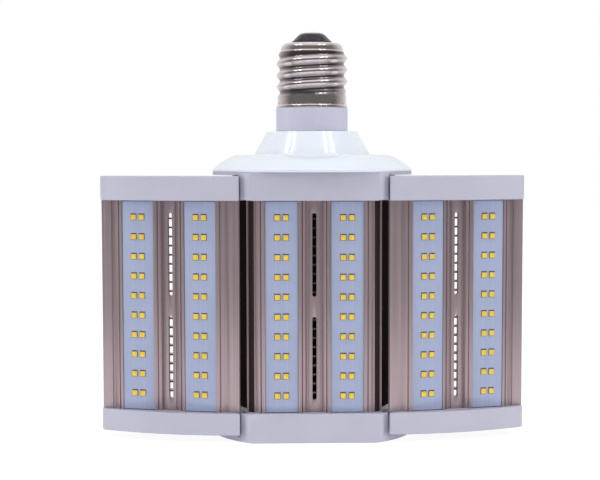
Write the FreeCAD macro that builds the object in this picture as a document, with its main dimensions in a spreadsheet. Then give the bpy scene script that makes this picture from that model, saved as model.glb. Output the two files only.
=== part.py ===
import FreeCAD, Part
import math
import operator
import os
import types

import Sketcher

# Folding three-panel LED lamp on a large screw base, standing base up.
# Millimetres. The lamp axis is Z, the middle panel faces -Y, and z = 0 is the underside of the lower cap.

doc = FreeCAD.newDocument("folding_panel_lamp")
sheet = doc.addObject("Spreadsheet::Sheet", "sizes")

driving = {
    # column caps, round with a flat front
    "rim_radius": 55.5,
    "front_cut": 11.5,
    "cap_corner_inset": 1.0,
    "cap_margin": 0.5,
    "cap_wire_radius": 12.0,
    "lower_plate": 3.7,
    "upper_plate": 1.6,
    # heights of the panels between the caps
    "panel_bottom": 16.0,
    "panel_height": 114.4,
    "upper_cap_height": 13.2,
    # column tube
    "ledge": 3.8,
    "tube_clearance": 1.0,
    "tube_radius": 43.0,
    "tube_wall": 2.2,
    "side_ridge": 0.7,
    "rail_length": 3.5,
    "rail_wall": 1.2,
    "lug_radius": 3.8,
    "lug_side": 25.0,
    # panel section, measured from the face of the LED boards
    "panel_width": 78.2,
    "panel_thick": 7.0,
    "strip_spacing": 35.4,
    "board_width": 17.7,
    "board_thick": 1.5,
    "board_gap": 0.1,
    "board_inset": 0.4,
    "lip_width": 0.6,
    "lip_rise": 0.4,
    "vent_rib_width": 5.8,
    "vent_depth": 2.4,
    "groove_width": 1.3,
    "groove_depth": 0.8,
    "rib_nick": 0.65,
    "rib_width": 3.2,
    "rib_drop": 1.6,
    "flank_width": 1.7,
    "shoulder_drop": 1.5,
    "shoulder_wall": 2.0,
    "vent_wall": 2.0,
    "slot_width": 2.2,
    "slot_length": 45.0,
    "slot_spacing": 56.0,
    "fin_count": 22,
    "fin_thick": 0.8,
    "fin_inset": 4.0,
    "fin_back_inset": 0.5,
    "column_fin_depth": 10.0,
    "column_fin_width": 50.0,
    # light emitters
    "led_side": 3.2,
    "led_height": 0.65,
    "led_spacing": 4.6,
    "led_rows": 10,
    "led_row_spacing": 10.68,
    # wings and hinges
    "wing_angle": 16.2,
    "wing_open_angle": 4.0,
    "hinge_inset": 3.3,
    "wing_face": 9.2,
    "wing_middle": 35.4,
    "wing_gap": 0.4,
    "wing_outer_margin": 0.8,
    "wing_bow": 5.2,
    "wing_lead": 1.2,
    "wing_corner": 4.0,
    "wing_back_corner": 2.0,
    "boss_radius": 4.5,
    "pin_radius": 2.0,
    "pin_clearance": 0.05,
    "pin_reach": 8.0,
    "pin_end_gap": 0.3,
    "wire_channel_depth": 6.0,
    "wire_channel_width": 4.0,
    "wire_channel_wall": 2.0,
    "wire_channel_end": 8.0,
    # shoulder and neck
    "rim_lip": 2.0,
    "flange_height": 9.4,
    "flange_slope": 12.0,
    "flange_swell_inset": 3.3,
    "flange_swell_height": 6.4,
    "cone_foot_radius": 32.25,
    "cone_top_radius": 25.0,
    "cone_height": 12.8,
    "housing_wall": 2.2,
    "collar_radius": 19.9,
    "collar_height": 13.0,
    "collar_step": 1.6,
    "collar_bore": 15.7,
    "spigot_length": 5.0,
    "spigot_gap": 0.1,
    # screw base
    "shell_height": 35.8,
    "shell_wall": 1.0,
    "skirt_radius": 19.1,
    "skirt_height": 6.7,
    "bead_radius": 19.75,
    "bead_height": 1.2,
    "thread_root": 17.9,
    "thread_crest": 19.65,
    "thread_pitch": 6.35,
    "thread_turns": 3.3,
    "thread_start": 8.55,
    "crest_width": 1.6,
    "thread_sink": 0.25,
    "shell_neck_radius": 17.25,
    "shell_neck_height": 1.1,
    "shell_shoulder": 3.6,
    "insulator_foot": 11.3,
    "insulator_top": 7.05,
    "insulator_height": 4.8,
    "insulator_edge": 0.6,
    "insulator_seat": 0.5,
    "insulator_plug": 1.5,
    "contact_radius": 6.6,
    "contact_face": 4.2,
    "contact_height": 1.5,
    "contact_edge": 0.5,
    "contact_stem": 1.5,
    # screws
    "screw_radius": 1.5,
    "screw_head_radius": 2.75,
    "screw_head_height": 2.0,
    "screw_clearance": 0.1,
    "screw_reach": 6.0,
    "screw_seat": 3.0,
    # driver
    "driver_board_height": 104.0,
    "driver_board_thick": 1.6,
    "driver_edge_gap": 2.5,
    "driver_place": 4.0,
    "transformer_width": 30.0,
    "transformer_height": 34.0,
    "transformer_depth": 22.0,
    "transformer_level": 26.0,
    "capacitor_radius": 8.0,
    "capacitor_length": 22.0,
    "capacitor_spacing": 20.0,
    "capacitor_level": 70.0,
    "choke_radius": 9.0,
    "choke_bore": 4.0,
    "choke_depth": 10.0,
    "choke_level": 94.0,
}
for row, (alias, number) in enumerate(driving.items(), start=1):
    sheet.set(f"A{row}", alias)
    sheet.set(f"B{row}", str(number))
    sheet.setAlias(f"B{row}", alias)
doc.recompute()


class Size:
    # a number together with the sheet expression that gives it

    def __init__(self, value, text):
        self.value = value
        self.text = text

    def __add__(self, other):
        return joined(operator.add, "+", self, other)

    def __radd__(self, other):
        return joined(operator.add, "+", other, self)

    def __sub__(self, other):
        return joined(operator.sub, "-", self, other)

    def __rsub__(self, other):
        return joined(operator.sub, "-", other, self)

    def __mul__(self, other):
        return joined(operator.mul, "*", self, other)

    def __rmul__(self, other):
        return joined(operator.mul, "*", other, self)

    def __truediv__(self, other):
        return joined(operator.truediv, "/", self, other)

    def __neg__(self):
        return Size(-self.value, f"(-1 * {self.text})")


def sized(number):
    return number if isinstance(number, Size) else Size(number, str(number))


def joined(action, sign, first, second):
    first, second = sized(first), sized(second)
    return Size(action(first.value, second.value), f"({first.text} {sign} {second.text})")


def root(square):
    return Size(math.sqrt(square.value), f"sqrt({square.text})")


def sine(angle):
    return Size(math.sin(math.radians(angle.value)), f"sin({angle.text})")


def cosine(angle):
    return Size(math.cos(math.radians(angle.value)), f"cos({angle.text})")


def side_of_circle(radius, other):
    # the second coordinate of a point on a circle about the origin
    return root(radius * radius - other * other)


s = types.SimpleNamespace(**{alias: Size(getattr(sheet, alias), f"sizes.{alias}") for alias in driving})

# levels that several pieces share
panel_top = s.panel_bottom + s.panel_height
panel_middle = s.panel_bottom + s.panel_height / 2
wing_bottom = s.lower_plate + s.wing_gap
wing_top = panel_top + s.upper_cap_height
plate_bottom = wing_top + s.wing_gap
housing_bottom = plate_bottom + s.upper_plate
cone_bottom = housing_bottom + s.flange_height
cone_top = cone_bottom + s.cone_height
shell_bottom = cone_top + s.collar_height
shell_top = shell_bottom + s.shell_height

# places in plan
cap_front = s.rim_radius - s.front_cut
column_face = cap_front - s.ledge
hinge_reach = s.rim_radius - s.hinge_inset
hinge_front = column_face - s.wing_face
hinge_side = side_of_circle(hinge_reach, hinge_front)
cap_corner_side = hinge_side - s.cap_corner_inset
wing_end = s.wing_middle + s.panel_width / 2 + s.wing_outer_margin
strip_offsets = (-s.strip_spacing / 2, s.strip_spacing / 2)
column_screw_front = column_face - s.board_thick - (s.panel_thick - s.board_thick) / 2
wing_screw_front = s.wing_face - s.board_thick - (s.panel_thick - s.board_thick) / 2
tube_side = hinge_side - s.boss_radius - s.tube_clearance
tube_inner_radius = s.tube_radius - s.tube_wall
tube_inner_side = tube_side - s.tube_wall
tube_inner_front = column_face - s.panel_thick
lug_back = side_of_circle(tube_inner_radius, s.lug_side)
driver_rear = s.driver_place + s.driver_board_thick / 2
driver_board_side = side_of_circle(tube_inner_radius, driver_rear) - s.driver_edge_gap
neck_opening = s.collar_radius - s.collar_step
insulator_hole = s.insulator_foot - s.insulator_seat

sub_parts = []


def new_body(name):
    body = doc.addObject("PartDesign::Body", name)
    body.Label = name
    body.AllowCompound = True
    sub_parts.append(body)
    return body


def sketch_on(body, name, role, level=0):
    plane = next(feature for feature in body.Origin.OriginFeatures if feature.Role == role)
    sketch = body.newObject("Sketcher::SketchObject", name)
    sketch.AttachmentSupport = [(plane, "")]
    sketch.MapMode = "FlatFace"
    sketch.setExpression("AttachmentOffset.Base.z", sized(level).text)
    return sketch


def bind(sketch, kind, references, amount):
    amount = sized(amount)
    index = sketch.addConstraint(Sketcher.Constraint(kind, *references, amount.value))
    sketch.setExpression(f"Constraints[{index}]", amount.text)


def pin_point(sketch, edge, end, place):
    bind(sketch, "DistanceX", (-1, 1, edge, end), place[0])
    bind(sketch, "DistanceY", (-1, 1, edge, end), place[1])


def vector(place):
    return FreeCAD.Vector(sized(place[0]).value, sized(place[1]).value, 0)


def arc_between(start, finish, bend):
    # a positive bend turns left on the way from start to finish
    if bend < 0:
        start, finish = finish, start
    chord = finish - start
    left = FreeCAD.Vector(-chord.y, chord.x, 0).normalize()
    rise = math.sqrt(max(bend * bend - chord.Length ** 2 / 4, 0))
    centre = (start + finish) / 2 + left * rise
    first = math.atan2(start.y - centre.y, start.x - centre.x)
    last = math.atan2(finish.y - centre.y, finish.x - centre.x)
    circle = Part.Circle(centre, FreeCAD.Vector(0, 0, 1), abs(bend))
    return Part.ArcOfCircle(circle, first, last if last > first else last + 2 * math.pi)


def outline(sketch, corners):
    # each corner is (x, y), or (x, y, bend) where an arc of that radius leaves it
    edges = []
    for here, there in zip(corners, corners[1:] + corners[:1]):
        if len(here) == 2:
            edge = sketch.addGeometry(Part.LineSegment(vector(here), vector(there)), False)
            edges.append((edge, 1, 2))
            continue
        bend = sized(here[2])
        edge = sketch.addGeometry(arc_between(vector(here), vector(there), bend.value), False)
        edges.append((edge, 1, 2) if bend.value > 0 else (edge, 2, 1))
        bind(sketch, "Radius", (edge,), bend if bend.value > 0 else -bend)
    for place, before, (edge, first_end, _) in zip(corners, edges[-1:] + edges, edges):
        sketch.addConstraint(Sketcher.Constraint("Coincident", before[0], before[2], edge, first_end))
        pin_point(sketch, edge, first_end, place)


def rectangle(sketch, left, right, low, high):
    if sized(left).value > sized(right).value:
        left, right = right, left
    outline(sketch, [(left, low), (right, low), (right, high), (left, high)])


def circle(sketch, place, radius):
    edge = sketch.addGeometry(Part.Circle(vector(place), FreeCAD.Vector(0, 0, 1), radius.value), False)
    bind(sketch, "Radius", (edge,), radius)
    pin_point(sketch, edge, 3, place)


def hexagon(sketch, place, radius):
    x, y = place
    half = radius / 2
    rise = side_of_circle(radius, half)
    outline(sketch, [
        (x + radius, y),
        (x + half, y + rise),
        (x - half, y + rise),
        (x - radius, y),
        (x - half, y - rise),
        (x + half, y - rise),
    ])


def pad(body, sketch, name, length):
    feature = body.newObject("PartDesign::Pad", name)
    feature.Profile = sketch
    feature.setExpression("Length", length.text)
    return feature


def cut(body, sketch, name, depth, along_normal=False):
    feature = body.newObject("PartDesign::Pocket", name)
    feature.Profile = sketch
    feature.Reversed = along_normal
    feature.setExpression("Length", depth.text)
    return feature


def revolve(body, name, corners):
    sketch = sketch_on(body, f"{name}_section", "XZ_Plane")
    outline(sketch, corners)
    feature = body.newObject("PartDesign::Revolution", name)
    feature.Profile = sketch
    feature.ReferenceAxis = (sketch, ["V_Axis"])
    feature.Angle = 360
    return feature


def repeat(body, original, axis, spacing, count):
    row = body.newObject("PartDesign::LinearPattern", f"{original.Name}_row")
    row.Originals = [original]
    row.Direction = axis
    row.Mode = "Spacing"
    row.setExpression("Offset", spacing.text)
    row.setExpression("Occurrences", count.text)
    body.Tip = row
    return row


def hang_on_hinge(body, side):
    turn = FreeCAD.Rotation(FreeCAD.Vector(0, 0, side), s.wing_angle.value)
    body.Placement = FreeCAD.Placement(FreeCAD.Vector(0, 0, 0), turn)
    body.setExpression(".Placement.Rotation.Angle", s.wing_angle.text)
    body.setExpression(".Placement.Base.x", (side * hinge_side).text)
    body.setExpression(".Placement.Base.y", (-hinge_front).text)


def sloped_rib(top, direction):
    # the rib beside a board, from the lip down to its foot, with a nick halfway
    middle = top + direction * s.rib_width / 2
    level = s.lip_rise - s.rib_drop / 2
    nick = direction * s.rib_nick / 2
    return [
        (top, s.lip_rise),
        (middle - nick, level),
        (middle, level - s.groove_depth),
        (middle + nick, level),
        (top + direction * s.rib_width, s.lip_rise - s.rib_drop),
    ]


def half_section():
    # from the vent rib outwards, as distance from the panel's middle and height over the boards' face
    vent_edge = s.vent_rib_width / 2
    groove_floor = -s.vent_depth - s.groove_depth
    channel = s.board_width / 2 + s.board_gap
    inner = s.strip_spacing / 2 - channel
    outer = s.strip_spacing / 2 + channel
    vent = [
        (vent_edge, -s.vent_depth),
        (vent_edge, groove_floor),
        (vent_edge + s.groove_width, groove_floor),
    ]
    board_channel = [
        (inner, s.lip_rise),
        (inner, -s.board_thick),
        (outer, -s.board_thick),
        (outer, s.lip_rise),
    ]
    inner_rib = sloped_rib(inner - s.lip_width, -1)
    return vent + inner_rib[::-1] + board_channel + sloped_rib(outer + s.lip_width, 1)


def column_half_section():
    # the panel's half, then two ridges as the section turns back to the tube's side
    rib_end, rib_foot = half_section()[-1]
    notch = (tube_side - rib_end) / 6
    first_floor = rib_foot - s.groove_width
    second_floor = first_floor - 2 * s.groove_width
    return half_section() + [
        (rib_end + notch, first_floor),
        (rib_end + 2 * notch, first_floor + s.side_ridge),
        (tube_side - notch, second_floor),
        (tube_side, second_floor + s.side_ridge),
    ]


def wing_half_section():
    # the panel's half, then the flank, a groove and a thin flat shoulder
    rib_end, _ = half_section()[-1]
    flank_foot = rib_end + s.flank_width
    shoulder_start = flank_foot + s.groove_width
    groove_floor = -s.shoulder_drop - s.groove_depth
    shoulder_back = -s.shoulder_drop - s.shoulder_wall
    edge = s.panel_width / 2
    return half_section() + [
        (flank_foot, groove_floor),
        (shoulder_start, groove_floor),
        (shoulder_start, -s.shoulder_drop),
        (edge, -s.shoulder_drop),
        (edge, shoulder_back),
        (shoulder_start, shoulder_back),
        (shoulder_start, -s.panel_thick),
    ]


def mirrored_section(half, middle, face):
    # left to right across the front, in the sketch's x and y
    left = [(middle - across, -face - height) for across, height in reversed(half)]
    return left + [(middle + across, -face - height) for across, height in half]


def vent_slots(body, middle, face, depth):
    # two long slots in the vent rib, one over the other
    sketch = sketch_on(body, "vent_outline", "XZ_Plane", face - s.vent_depth)
    reach = s.slot_width / 2
    for direction in (-1, 1):
        centre = panel_middle + direction * s.slot_spacing / 2
        low = centre - s.slot_length / 2 + reach
        high = centre + s.slot_length / 2 - reach
        outline(sketch, [
            (middle - reach, low, reach),
            (middle, low - reach, reach),
            (middle + reach, low),
            (middle + reach, high, reach),
            (middle, high + reach, reach),
            (middle - reach, high),
        ])
    cut(body, sketch, "vents", depth)


def screw_channels(body, places):
    # the screws cut their thread in channels that run the whole length of an extrusion
    sketch = sketch_on(body, "channel_outline", "XY_Plane", panel_top)
    for place in places:
        circle(sketch, place, s.screw_radius + s.pin_clearance)
    cut(body, sketch, "screw_channels", s.panel_height)


def cap_screw_holes(body, places, inner, outer):
    # a deep counterbore from the outside and a clearance hole down to the panel's end
    upward = outer.value < inner.value
    bore = sketch_on(body, "screw_bore_outline", "XY_Plane", outer)
    hole = sketch_on(body, "screw_hole_outline", "XY_Plane", outer)
    for place in places:
        circle(bore, place, s.screw_head_radius + s.screw_clearance)
        circle(hole, place, s.screw_radius + s.screw_clearance)
    thickness = inner - outer if upward else outer - inner
    cut(body, bore, "screw_bores", thickness - s.screw_seat, along_normal=upward)
    cut(body, hole, "screw_holes", thickness, along_normal=upward)


def screws(name, places):
    # hexagon screws at both ends of the panel, with the heads down below it and up above it
    body = new_body(name)
    for number, (panel_end, heads) in enumerate([(s.panel_bottom, -1), (panel_top, 1)]):
        seat = panel_end + heads * s.screw_seat
        tip = panel_end - heads * s.screw_reach
        low, high = (tip, seat) if heads > 0 else (seat, tip)
        head_low = seat if heads > 0 else seat - s.screw_head_height
        shank_outline = sketch_on(body, f"shank_outline_{number}", "XY_Plane", low)
        head_outline = sketch_on(body, f"head_outline_{number}", "XY_Plane", head_low)
        for place in places:
            hexagon(shank_outline, place, s.screw_radius)
            hexagon(head_outline, place, s.screw_head_radius)
        pad(body, shank_outline, f"shanks_{number}", high - low)
        pad(body, head_outline, f"heads_{number}", s.screw_head_height)
    return body


def boards(name, middle, face):
    # one node for each strip, because each is a board of its own
    made = []
    for strip, offset in zip(("left", "right"), strip_offsets):
        body = new_body(f"{name}_{strip}_board")
        sketch = sketch_on(body, "board_outline", "XY_Plane", s.panel_bottom + s.board_inset)
        centre = middle + offset
        half = s.board_width / 2
        rectangle(sketch, centre - half, centre + half, -face, s.board_thick - face)
        pad(body, sketch, "board", s.panel_height - 2 * s.board_inset)
        made.append(body)
    return made


def emitters(name, middle, face):
    # a row of four, two on each board, repeated up the panel
    body = new_body(f"{name}_leds")
    sketch = sketch_on(body, "led_outline", "XZ_Plane", face)
    half = s.led_side / 2
    first_row = panel_middle - s.led_row_spacing * (s.led_rows - 1) / 2
    for offset in strip_offsets:
        for direction in (-1, 1):
            centre = middle + offset + direction * s.led_spacing / 2
            rectangle(sketch, centre - half, centre + half, first_row - half, first_row + half)
    row = pad(body, sketch, "led_row", s.led_height)
    repeat(body, row, (sketch, ["V_Axis"]), s.led_row_spacing, s.led_rows)
    return body


def fins(name, left, right, front, back):
    # thin level plates between the caps, behind the panel
    body = new_body(f"{name}_fins")
    spacing = s.panel_height / (s.fin_count + 1)
    sketch = sketch_on(body, "fin_outline", "XY_Plane", s.panel_bottom + spacing - s.fin_thick / 2)
    rectangle(sketch, left, right, front, back)
    plate = pad(body, sketch, "fin", s.fin_thick)
    repeat(body, plate, (sketch, ["N_Axis"]), spacing, s.fin_count)
    return body


def tube_inside(sketch):
    join = side_of_circle(tube_inner_radius, tube_inner_side)
    outline(sketch, [
        (-tube_inner_side, -tube_inner_front),
        (tube_inner_side, -tube_inner_front),
        (tube_inner_side, -join, tube_inner_radius),
        (0, tube_inner_radius, tube_inner_radius),
        (-tube_inner_side, -join),
    ])


column_screw_places = [(offset, -column_screw_front) for offset in strip_offsets]
column_screw_places += [(side * s.lug_side, lug_back) for side in (-1, 1)]


def column_heatsink():
    body = new_body("column_heatsink")
    sketch = sketch_on(body, "tube_outline", "XY_Plane", s.panel_bottom)
    join = side_of_circle(s.tube_radius, tube_side)
    outline(sketch, mirrored_section(column_half_section(), 0, column_face) + [
        (tube_side, -join, s.tube_radius),
        (0, s.tube_radius, s.tube_radius),
        (-tube_side, -join),
    ])
    tube_inside(sketch)
    pad(body, sketch, "tube", s.panel_height)
    lugs = sketch_on(body, "lug_outline", "XY_Plane", s.panel_bottom)
    for place in column_screw_places[2:]:
        circle(lugs, place, s.lug_radius)
    pad(body, lugs, "screw_lugs", s.panel_height)
    rails = sketch_on(body, "rail_outline", "XY_Plane", s.panel_bottom)
    rail_start = driver_board_side - s.rail_length / 2
    rail_end = tube_inner_radius + s.tube_wall / 2
    slot_half = s.driver_board_thick / 2 + s.board_gap
    for side in (-1, 1):
        for direction in (-1, 1):
            near = s.driver_place + direction * slot_half
            far = near + direction * s.rail_wall
            low, high = (near, far) if direction > 0 else (far, near)
            rectangle(rails, side * rail_start, side * rail_end, low, high)
    pad(body, rails, "driver_rails", s.panel_height)
    vent_slots(body, 0, column_face, s.panel_thick - s.vent_depth)
    screw_channels(body, column_screw_places)
    return body


def rim_outline(sketch):
    front_half = side_of_circle(s.rim_radius, cap_front)
    outline(sketch, [
        (-front_half, -cap_front),
        (front_half, -cap_front, s.rim_radius),
        (0, s.rim_radius, s.rim_radius),
    ])


def pedestal_outline(sketch, shoulders):
    # inside the rim, with room for the wings behind the hinges and, if asked, shoulders in front of them
    front_half = side_of_circle(s.rim_radius, cap_front)
    corner_front = side_of_circle(s.rim_radius, cap_corner_side)
    side = tube_side + s.cap_margin
    radius = s.tube_radius + s.cap_margin
    step_front = corner_front - (cap_corner_side - side) / 2
    join = side_of_circle(radius, side)
    right = [(front_half, -cap_front)]
    left = [(-front_half, -cap_front)]
    if shoulders:
        right = [(front_half, -cap_front, s.rim_radius), (cap_corner_side, -corner_front)]
        left = [(-cap_corner_side, -corner_front, s.rim_radius), (-front_half, -cap_front)]
    outline(sketch, right + [
        (side, -step_front),
        (side, -join, radius),
        (0, radius, radius),
        (-side, -join),
        (-side, -step_front),
    ] + left)


def hinge_holes(body, level, depth):
    sketch = sketch_on(body, "hinge_hole_outline", "XY_Plane", level)
    for side in (-1, 1):
        circle(sketch, (side * hinge_side, -hinge_front), s.pin_radius)
    cut(body, sketch, "hinge_holes", depth)


def column_cap(name, plate_low, plate, inner):
    # inner is the level where the tube stands on the cap
    body = new_body(name)
    rim = sketch_on(body, "rim_outline", "XY_Plane", plate_low)
    rim_outline(rim)
    pad(body, rim, "rim_plate", plate)
    below = inner.value > plate_low.value
    block_low = plate_low if below else inner
    block_high = inner if below else plate_low + plate
    block = sketch_on(body, "pedestal_outline", "XY_Plane", block_low)
    pedestal_outline(block, shoulders=False)
    pad(body, block, "pedestal", block_high - block_low)
    # the shoulders stop short of the panels, which swing past them
    shoulder = sketch_on(body, "shoulder_outline", "XY_Plane", block_low if below else inner + s.wing_gap)
    pedestal_outline(shoulder, shoulders=True)
    pad(body, shoulder, "shoulders", block_high - block_low - s.wing_gap)
    hollow = sketch_on(body, "hollow_outline", "XY_Plane", inner)
    tube_inside(hollow)
    hollow_depth = inner - plate_low - plate if below else plate_low - inner
    cut(body, hollow, "hollow", hollow_depth, along_normal=not below)
    lugs = sketch_on(body, "lug_outline", "XY_Plane", block_low)
    for place in column_screw_places[2:]:
        circle(lugs, place, s.lug_radius)
    pad(body, lugs, "screw_lugs", block_high - block_low)
    hinge_holes(body, plate_low + plate, plate)
    outer = plate_low if below else plate_low + plate
    cap_screw_holes(body, column_screw_places, inner, outer)
    return body


def column_caps():
    column_cap("column_lower_cap", sized(0), s.lower_plate, s.panel_bottom)
    upper = column_cap("column_upper_cap", plate_bottom, s.upper_plate, panel_top)
    wires = sketch_on(upper, "wire_outline", "XY_Plane", housing_bottom)
    circle(wires, (0, 0), s.cap_wire_radius)
    cut(upper, wires, "wire_hole", s.upper_plate)


def wing_plan(side, corners):
    # corners along and in front of the wing, in the sketch's x and y
    return [(side * along, -ahead, *(-side * bend for bend in bends)) for along, ahead, *bends in corners]


def wing_cap_corners():
    # the lamp axis as the wing sees it when it is fully open
    turn = s.wing_open_angle
    axis_along = hinge_front * sine(turn) - hinge_side * cosine(turn)
    axis_ahead = -hinge_front * cosine(turn) - hinge_side * sine(turn)
    clear = s.rim_radius + s.wing_gap
    tip_ahead = s.wing_face + s.wing_lead
    tip_along = axis_along + side_of_circle(clear, tip_ahead - axis_ahead)
    # where the boss meets the circle that clears the rim
    boss = s.boss_radius
    away = (clear * clear - boss * boss - hinge_reach * hinge_reach) / (2 * hinge_reach)
    across = side_of_circle(boss, away)
    notch_along = (-away * axis_along + across * axis_ahead) / hinge_reach
    notch_ahead = (-away * axis_ahead - across * axis_along) / hinge_reach
    front_chord = wing_end - s.wing_corner - tip_along
    front_round = front_chord * front_chord / (8 * s.wing_bow) + s.wing_bow / 2
    return [
        (tip_along, tip_ahead),
        (notch_along, notch_ahead, boss),
        (-boss, 0, boss),
        (0, -boss),
        (wing_end - s.wing_back_corner, -boss, s.wing_back_corner),
        (wing_end, s.wing_back_corner - boss),
        (wing_end, tip_ahead - s.wing_corner, s.wing_corner),
        (wing_end - s.wing_corner, tip_ahead, front_round),
    ]


def wing_cap(name, side, low, high, inner):
    body = new_body(name)
    sketch = sketch_on(body, "cap_outline", "XY_Plane", low)
    outline(sketch, wing_plan(side, wing_cap_corners()))
    pad(body, sketch, "cap", high - low)
    upward = inner is high
    # the wires run in a channel under the fins
    channel = sketch_on(body, "channel_outline", "XY_Plane", inner)
    half = s.panel_width / 2 - s.wire_channel_end
    ends = [side * (s.wing_middle + direction * half) for direction in (-1, 1)]
    near = s.boss_radius - s.wire_channel_wall
    rectangle(channel, *ends, near - s.wire_channel_width, near)
    cut(body, channel, "wire_channel", s.wire_channel_depth, along_normal=not upward)
    hole = sketch_on(body, "hinge_hole_outline", "XY_Plane", low if upward else high)
    circle(hole, (0, 0), s.pin_radius + s.pin_clearance)
    cut(body, hole, "hinge_hole", s.pin_reach + s.pin_end_gap, along_normal=upward)
    cap_screw_holes(body, wing_screw_places(side), inner, low if upward else high)
    hang_on_hinge(body, side)
    return body


def wing_screw_places(side):
    return [(side * (s.wing_middle + offset), -wing_screw_front) for offset in strip_offsets]


def wing_heatsink(name, side):
    body = new_body(f"{name}_heatsink")
    sketch = sketch_on(body, "panel_outline", "XY_Plane", s.panel_bottom)
    middle = side * s.wing_middle
    # a groove in the back leaves a thin wall for the vents
    groove_half = s.vent_rib_width / 2
    back = s.panel_thick - s.wing_face
    groove = s.vent_depth + s.vent_wall - s.wing_face
    outline(sketch, mirrored_section(wing_half_section(), middle, s.wing_face) + [
        (middle + groove_half, back),
        (middle + groove_half, groove),
        (middle - groove_half, groove),
        (middle - groove_half, back),
    ])
    pad(body, sketch, "panel", s.panel_height)
    vent_slots(body, middle, s.wing_face, s.vent_wall)
    screw_channels(body, wing_screw_places(side))
    return body


def wing(name, side):
    middle = side * s.wing_middle
    half = s.panel_width / 2 - s.fin_inset
    pieces = [wing_heatsink(name, side)]
    pieces += boards(name, middle, s.wing_face)
    pieces.append(emitters(name, middle, s.wing_face))
    fin_back = s.boss_radius - s.fin_back_inset
    pieces.append(fins(name, middle - half, middle + half, s.panel_thick - s.wing_face, fin_back))
    pieces.append(screws(f"{name}_screws", wing_screw_places(side)))
    for piece in pieces:
        hang_on_hinge(piece, side)
    wing_cap(f"{name}_lower_cap", side, wing_bottom, s.panel_bottom, s.panel_bottom)
    wing_cap(f"{name}_upper_cap", side, panel_top, wing_top, panel_top)


def hinge_pin(name, side, low, length):
    pin = doc.addObject("Part::Cylinder", name)
    pin.Label = name
    pin.setExpression("Radius", s.pin_radius.text)
    pin.setExpression("Height", length.text)
    pin.setExpression(".Placement.Base.x", (side * hinge_side).text)
    pin.setExpression(".Placement.Base.y", (-hinge_front).text)
    pin.setExpression(".Placement.Base.z", sized(low).text)
    sub_parts.append(pin)


def hinge_pins(name, side):
    hinge_pin(f"{name}_lower_pin", side, s.lower_plate / 2, s.lower_plate / 2 + s.wing_gap + s.pin_reach)
    hinge_pin(f"{name}_upper_pin", side, wing_top - s.pin_reach, s.pin_reach + s.wing_gap + s.upper_plate)


def shoulder_housing():
    # flange and cone, moulded as one thin wall
    body = new_body("shoulder_housing")
    wall = s.housing_wall
    flange_top = s.rim_radius - s.flange_slope
    revolve(body, "housing", [
        (s.rim_radius - wall, housing_bottom),
        (s.rim_radius, housing_bottom),
        (s.rim_radius, housing_bottom + s.rim_lip),
        (s.rim_radius - s.flange_swell_inset, housing_bottom + s.flange_swell_height),
        (flange_top, cone_bottom),
        (s.cone_foot_radius, cone_bottom),
        (s.cone_top_radius, cone_top),
        (neck_opening, cone_top),
        (neck_opening, cone_top - wall),
        (s.cone_top_radius - wall, cone_top - wall),
        (s.cone_foot_radius - wall, cone_bottom - wall),
        (flange_top - wall, cone_bottom - wall),
    ])
    return body


def neck_collar():
    # plugs into the cone below and into the screw shell above
    body = new_body("neck_collar")
    lower = neck_opening - s.spigot_gap
    upper = s.thread_root - s.shell_wall - s.spigot_gap
    revolve(body, "collar", [
        (s.collar_bore, cone_top - s.spigot_length),
        (lower, cone_top - s.spigot_length),
        (lower, cone_top),
        (s.collar_radius, cone_top),
        (s.collar_radius, shell_bottom),
        (upper, shell_bottom),
        (upper, shell_bottom + s.spigot_length),
        (s.collar_bore, shell_bottom + s.spigot_length),
    ])
    return body


def screw_shell():
    # drawn shell with a bead, a plain skirt, the thread and a sloped shoulder
    body = new_body("screw_shell")
    wall = s.shell_wall
    inside = s.thread_root - wall
    skirt_end = shell_bottom + s.skirt_height
    neck_end = shell_top - s.shell_shoulder
    neck_start = neck_end - s.shell_neck_height
    taper = s.skirt_radius - s.thread_root
    shoulder_reach = s.shell_neck_radius - s.shell_shoulder
    revolve(body, "shell", [
        (inside, shell_bottom),
        (s.bead_radius, shell_bottom),
        (s.bead_radius, shell_bottom + s.bead_height),
        (s.skirt_radius, shell_bottom + s.bead_height + s.bead_radius - s.skirt_radius),
        (s.skirt_radius, skirt_end),
        (s.thread_root, skirt_end + taper),
        (s.thread_root, neck_start),
        (s.shell_neck_radius, neck_start),
        (s.shell_neck_radius, neck_end),
        (shoulder_reach, shell_top),
        (insulator_hole, shell_top),
        (insulator_hole, shell_top - wall),
        (shoulder_reach, shell_top - wall),
        (s.shell_neck_radius - wall, neck_end),
        (s.shell_neck_radius - wall, neck_start - wall),
        (inside, neck_start - wall),
    ])
    ridge = sketch_on(body, "ridge_section", "XZ_Plane")
    level = shell_bottom + s.thread_start
    foot = s.thread_root - s.thread_sink
    foot_half = s.thread_pitch / 2 - s.thread_sink
    outline(ridge, [
        (foot, level - foot_half),
        (s.thread_crest, level - s.crest_width / 2),
        (s.thread_crest, level + s.crest_width / 2),
        (foot, level + foot_half),
    ])
    doc.recompute()
    thread = body.newObject("PartDesign::AdditiveHelix", "thread")
    thread.Profile = ridge
    thread.ReferenceAxis = (ridge, ["V_Axis"])
    thread.Mode = "pitch-turns-angle"
    thread.setExpression("Pitch", s.thread_pitch.text)
    thread.setExpression("Turns", s.thread_turns.text)
    return body


def base_insulator():
    body = new_body("base_insulator")
    plug = insulator_hole - s.spigot_gap
    stem_hole = s.contact_stem + s.pin_clearance
    revolve(body, "insulator", [
        (stem_hole, shell_top - s.insulator_plug),
        (plug, shell_top - s.insulator_plug),
        (plug, shell_top),
        (s.insulator_foot, shell_top),
        (s.insulator_foot, shell_top + s.insulator_edge),
        (s.insulator_top, shell_top + s.insulator_height),
        (stem_hole, shell_top + s.insulator_height),
    ])
    return body


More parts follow.
